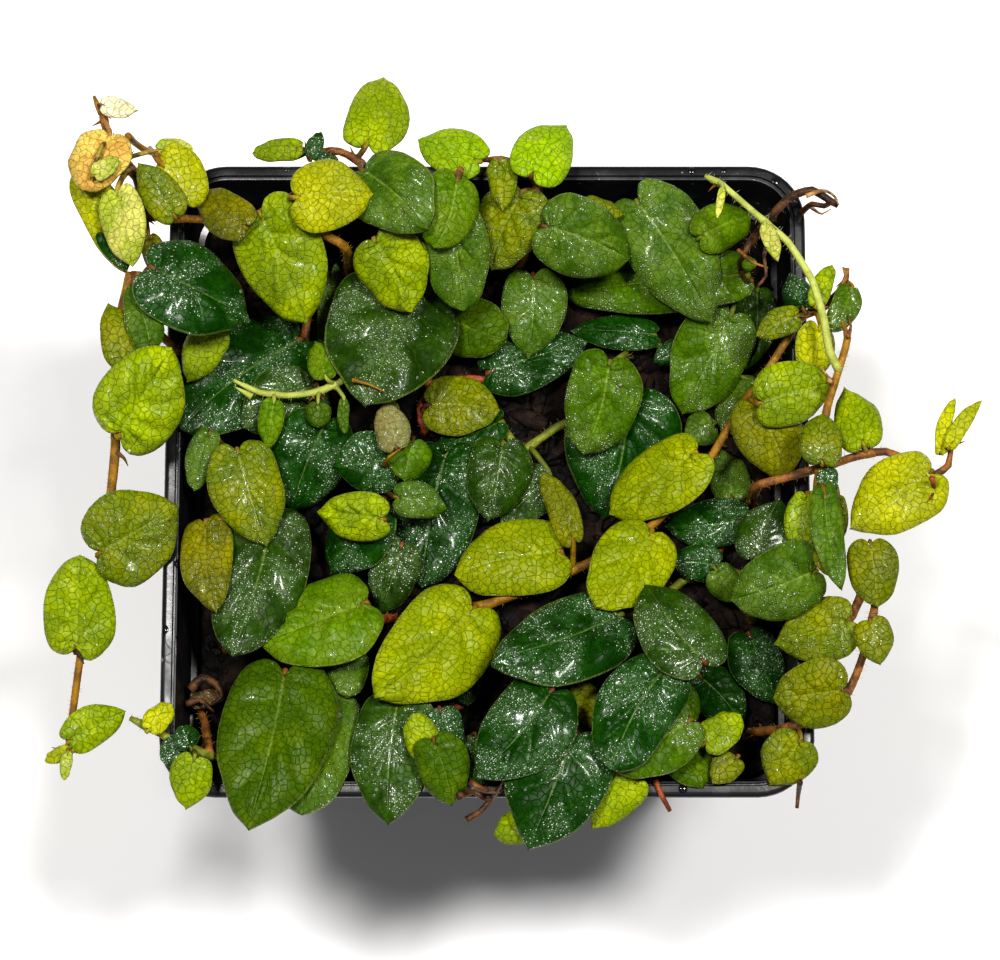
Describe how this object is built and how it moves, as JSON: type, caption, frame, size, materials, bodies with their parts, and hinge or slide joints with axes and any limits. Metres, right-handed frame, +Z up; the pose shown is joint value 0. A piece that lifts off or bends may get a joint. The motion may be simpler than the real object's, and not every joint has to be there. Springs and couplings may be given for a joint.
{
  "type": "potted creeping fig",
  "caption": "Small square black nursery pot filled with creeping fig: rooted leafy vines that cover the soil, cross the rim and trail beside the pot.",
  "frame": {"origin": "centre of the pot's underside, on the surface it stands on", "axes": "+Z up out of the pot's mouth, -Y towards the pot's near side in the picture, +X to its right"},
  "size_m": [0.1294, 0.1115, 0.0952],
  "materials": {
    "pot_plastic": "satin black, lightly dusty",
    "potting_soil": "damp crumbly peat and bark",
    "fig_foliage": "wet, quilted green leaves on brown stems"
  },
  "bodies": {
    "root": {"pot": "pot_plastic", "soil": "potting_soil", "old_vine_right": "fig_foliage", "old_vine_centre": "fig_foliage", "old_vine_left": "fig_foliage", "old_vine_middle": "fig_foliage", "front_left_vine": "fig_foliage", "front_middle_vine": "fig_foliage", "centre_right_vine": "fig_foliage", "centre_shoot": "fig_foliage", "right_centre_vine": "fig_foliage", "back_right_vine": "fig_foliage", "back_middle_vine": "fig_foliage", "light_green_shoot": "fig_foliage", "back_vine": "fig_foliage", "back_left_vine": "fig_foliage", "left_trailing_vine": "fig_foliage", "bottom_left_shoot": "fig_foliage", "bright_runner": "fig_foliage", "left_inner_vine": "fig_foliage", "front_right_vine": "fig_foliage", "right_lower_vine": "fig_foliage", "right_long_vine": "fig_foliage", "right_hanging_vine": "fig_foliage"}
  },
  "joints": []
}
